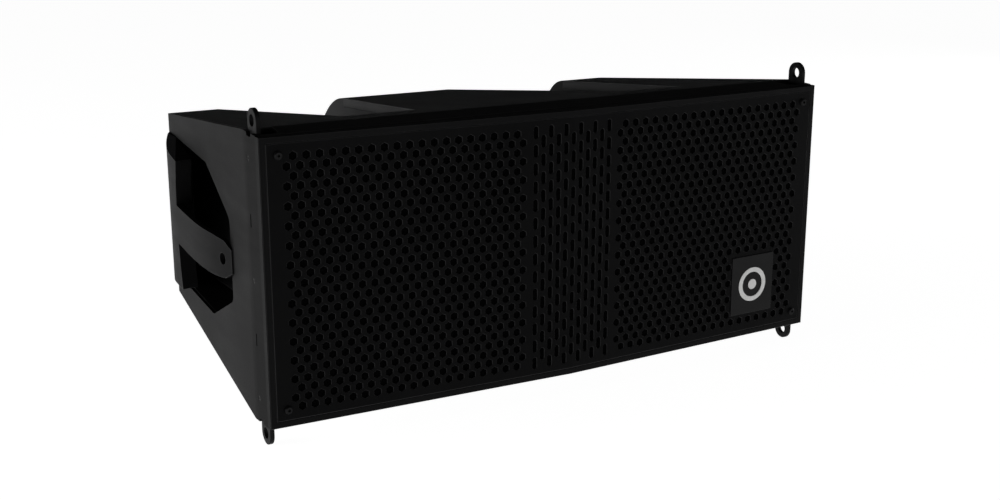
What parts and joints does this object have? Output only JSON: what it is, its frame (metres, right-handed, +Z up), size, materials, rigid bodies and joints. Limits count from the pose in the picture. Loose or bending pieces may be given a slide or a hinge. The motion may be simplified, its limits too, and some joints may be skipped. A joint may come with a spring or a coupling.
{
  "type": "line array speaker",
  "caption": "Wide two-way line array loudspeaker cabinet with a folded perforated grille, tapered body with rear valleys, side hand openings with straps, and rigging lugs.",
  "frame": {"origin": "centre of the bounding box", "axes": "+X to the right seen from the front, along the cabinet width; +Y towards the rear; +Z up"},
  "size_m": [0.7208, 0.596, 0.355],
  "materials": {
    "painted_board": "hard-wearing fine-textured black paint on plywood",
    "plywood": "birch plywood, painted black at the front",
    "coated_steel": "satin black powder coat",
    "rigging_steel": "dark grey phosphated steel",
    "moulded_black": "fine-grained black moulding",
    "dark_screws": "black oxide",
    "bare_steel": "zinc plated",
    "connector_black": "smooth black plastic",
    "frame_coat": "matt black powder coat",
    "grille_coat": "matt black powder coat, lighter on the punched edges",
    "foam": "open-cell black foam",
    "badge": "plain satin black plate",
    "cast_aluminium": "grey cast surface",
    "ferrite": "sintered ferrite",
    "cone_pulp": "pressed paper pulp, dark",
    "copper_wire": "enamelled copper winding",
    "spider_cloth": "varnished corrugated cloth",
    "surround_rubber": "smooth rubber",
    "diaphragm_foil": "thin formed foil",
    "circuit_board": "lacquered circuit board",
    "capacitor_film": "wrapped film capacitor"
  },
  "bodies": {
    "cabinet": {"badge_plate": "badge", "baffle": "plywood", "bottom_panel": "painted_board", "centre_cover": "moulded_black", "centre_walls": "painted_board", "connector_plate": "coated_steel", "connectors": "connector_black", "crossover_board": "circuit_board", "crossover_capacitors": "capacitor_film", "crossover_coils": "copper_wire", "front_frame": "frame_coat", "grille": "grille_coat", "grille_foam": "foam", "grille_screws": "dark_screws", "hf_cover": "moulded_black", "hf_motor": "cast_aluminium", "left_handle": "moulded_black", "left_handle_cup": "moulded_black", "left_lobe_cover": "moulded_black", "left_lobe_wall": "painted_board", "left_rigging_bar": "rigging_steel", "left_side_board": "plywood", "left_side_plate": "coated_steel", "left_woofer_basket": "cast_aluminium", "left_woofer_magnet": "ferrite", "left_woofer_pod": "moulded_black", "left_woofer_spider": "spider_cloth", "left_woofer_surround": "surround_rubber", "left_woofer_top_plate": "bare_steel", "left_woofer_yoke": "bare_steel", "link_pin": "bare_steel", "plate_screws": "dark_screws", "port_tubes": "moulded_black", "rear_bracket": "rigging_steel", "right_handle": "moulded_black", "right_handle_cup": "moulded_black", "right_lobe_cover": "moulded_black", "right_lobe_wall": "painted_board", "right_rigging_bar": "rigging_steel", "right_side_board": "plywood", "right_side_plate": "coated_steel", "right_woofer_basket": "cast_aluminium", "right_woofer_magnet": "ferrite", "right_woofer_pod": "moulded_black", "right_woofer_spider": "spider_cloth", "right_woofer_surround": "surround_rubber", "right_woofer_top_plate": "bare_steel", "right_woofer_yoke": "bare_steel", "side_screws": "dark_screws", "top_panel": "painted_board", "waveguide": "moulded_black", "woofer_bolts": "dark_screws"},
    "left_cone": {"left_woofer_cone": "cone_pulp", "left_woofer_dust_cap": "cone_pulp", "left_woofer_voice_coil": "copper_wire"},
    "right_cone": {"right_woofer_cone": "cone_pulp", "right_woofer_dust_cap": "cone_pulp", "right_woofer_voice_coil": "copper_wire"},
    "hf_dome": {"hf_diaphragm": "diaphragm_foil"},
    "rear_link": {"rear_link": "rigging_steel"}
  },
  "joints": [
    {"name": "left_cone_stroke", "type": "slide", "parent": "cabinet", "child": "left_cone", "axis": [0, 1, 0], "range_m": [-0.005, 0.005], "stiffness_N_per_m": 6000},
    {"name": "right_cone_stroke", "type": "slide", "parent": "cabinet", "child": "right_cone", "axis": [0, 1, 0], "range_m": [-0.005, 0.005], "stiffness_N_per_m": 6000},
    {"name": "hf_dome_stroke", "type": "slide", "parent": "cabinet", "child": "hf_dome", "axis": [0, 1, 0], "range_m": [-0.0004, 0.0004], "stiffness_N_per_m": 5000},
    {"name": "rear_link_hinge", "type": "hinge", "parent": "cabinet", "child": "rear_link", "pos_m": [0, 0.2905, 0.072], "axis": [1, 0, 0], "range_deg": [0, 180]}
  ]
}
